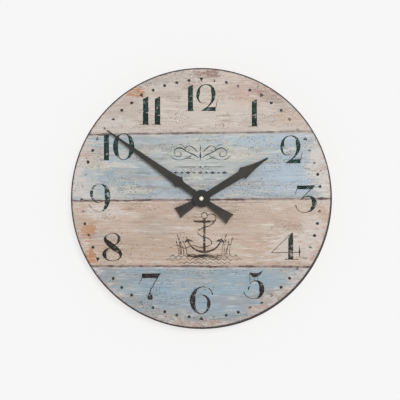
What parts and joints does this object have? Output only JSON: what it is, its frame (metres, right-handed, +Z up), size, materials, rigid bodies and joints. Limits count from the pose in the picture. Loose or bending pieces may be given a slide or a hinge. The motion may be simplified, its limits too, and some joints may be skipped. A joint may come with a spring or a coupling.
{
  "type": "wall clock",
  "caption": "Round wall clock with a printed plank-effect board dial, painted spade-style hands and a battery quartz movement behind it.",
  "frame": {"origin": "the hands' axis where it meets the wall, on the movement's flat back", "axes": "+Z up, +X to the right as seen from the front, +Y into the wall, so the dial faces -Y"},
  "size_m": [0.3599, 0.0325, 0.36],
  "materials": {
    "board": "bare fibreboard back with a dark painted edge",
    "print": "printed sheet under a satin lacquer",
    "hand": "satin black paint",
    "cap": "polished",
    "brass": "turned",
    "case": "moulded black",
    "knob": "moulded",
    "plate": "moulded natural white",
    "wheel": "moulded acetal",
    "centre_wheel": "punched",
    "magnet": "sintered",
    "iron": "rolled soft iron",
    "spring": "phosphor bronze",
    "bobbin": "moulded",
    "copper": "enamelled wire",
    "screw": "zinc plated",
    "circuit": "solder mask",
    "crystal": "drawn can",
    "resin": "potting resin",
    "contact": "nickel plated spring steel",
    "hanger": "zinc plated",
    "gasket": "moulded",
    "can": "nickel plated",
    "jacket": "plain shrink sleeve"
  },
  "bodies": {
    "clock": {"dial_board": "board", "dial_print": "print", "movement_case": "case", "threaded_bush": "brass", "middle_plate": "plate", "train_plate": "plate", "back_cover": "case", "hanger": "hanger", "gasket_washer": "gasket", "flat_washer": "brass", "fixing_nut": "brass", "stator": "iron", "coil_core": "iron", "coil_bobbin": "bobbin", "coil_winding": "copper", "stator_screws": "screw", "circuit_board": "circuit", "quartz_crystal": "crystal", "chip_blob": "resin", "negative_contact": "contact", "positive_contact": "contact"},
    "minute": {"minute_arbor": "brass", "minute_hand": "hand", "cap_nut": "cap", "clutch_spring": "spring"},
    "hour": {"hour_wheel": "wheel", "hour_hand": "hand", "hour_hand_collet": "brass"},
    "motion": {"motion_wheel": "wheel"},
    "setting": {"setting_arbor": "wheel", "setting_knob": "knob"},
    "seconds": {"seconds_wheel": "wheel"},
    "fifth": {"fifth_wheel": "wheel"},
    "rotor": {"rotor_pinion": "wheel", "rotor_magnet": "magnet"},
    "third": {"third_wheel": "wheel"},
    "centre": {"centre_wheel": "centre_wheel"},
    "cell": {"cell_can": "can", "cell_jacket": "jacket"}
  },
  "joints": [
    {"name": "minute_spin", "type": "hinge", "parent": "clock", "child": "minute", "pos_m": [0, -0.0292, 0], "axis": [0, 1, 0], "continuous": true},
    {"name": "hour_spin", "type": "hinge", "parent": "clock", "child": "hour", "pos_m": [0, -0.0269, 0], "axis": [0, 1, 0], "continuous": true},
    {"name": "motion_spin", "type": "hinge", "parent": "clock", "child": "motion", "pos_m": [0.00811, -0.0125, -0.00217], "axis": [0, 1, 0], "continuous": true},
    {"name": "setting_spin", "type": "hinge", "parent": "clock", "child": "setting", "pos_m": [0.01639, -0.0125, -0.00072], "axis": [0, 1, 0], "continuous": true},
    {"name": "seconds_spin", "type": "hinge", "parent": "clock", "child": "seconds", "pos_m": [0, -0.0076, 0], "axis": [0, 1, 0], "continuous": true},
    {"name": "fifth_spin", "type": "hinge", "parent": "clock", "child": "fifth", "pos_m": [0.0045, -0.0061, 0.00779], "axis": [0, 1, 0], "continuous": true},
    {"name": "rotor_spin", "type": "hinge", "parent": "clock", "child": "rotor", "pos_m": [0.01239, -0.0047, 0.01067], "axis": [0, 1, 0], "continuous": true},
    {"name": "third_spin", "type": "hinge", "parent": "clock", "child": "third", "pos_m": [-0.00935, -0.0091, 0.0054], "axis": [0, 1, 0], "continuous": true},
    {"name": "centre_spin", "type": "hinge", "parent": "clock", "child": "centre", "pos_m": [0, -0.0112, 0], "axis": [0, 1, 0], "continuous": true},
    {"name": "cell_out", "type": "slide", "parent": "clock", "child": "cell", "axis": [0, 1, 0], "range_m": [0, 0.02]}
  ],
  "couplings": [
    {"joint": "hour_spin", "follows": "minute_spin", "ratio": 0.083333},
    {"joint": "motion_spin", "follows": "minute_spin", "ratio": -0.33333},
    {"joint": "setting_spin", "follows": "minute_spin", "ratio": 1},
    {"joint": "third_spin", "follows": "centre_spin", "ratio": -8},
    {"joint": "seconds_spin", "follows": "centre_spin", "ratio": 60},
    {"joint": "fifth_spin", "follows": "centre_spin", "ratio": -300},
    {"joint": "rotor_spin", "follows": "centre_spin", "ratio": 1800}
  ]
}
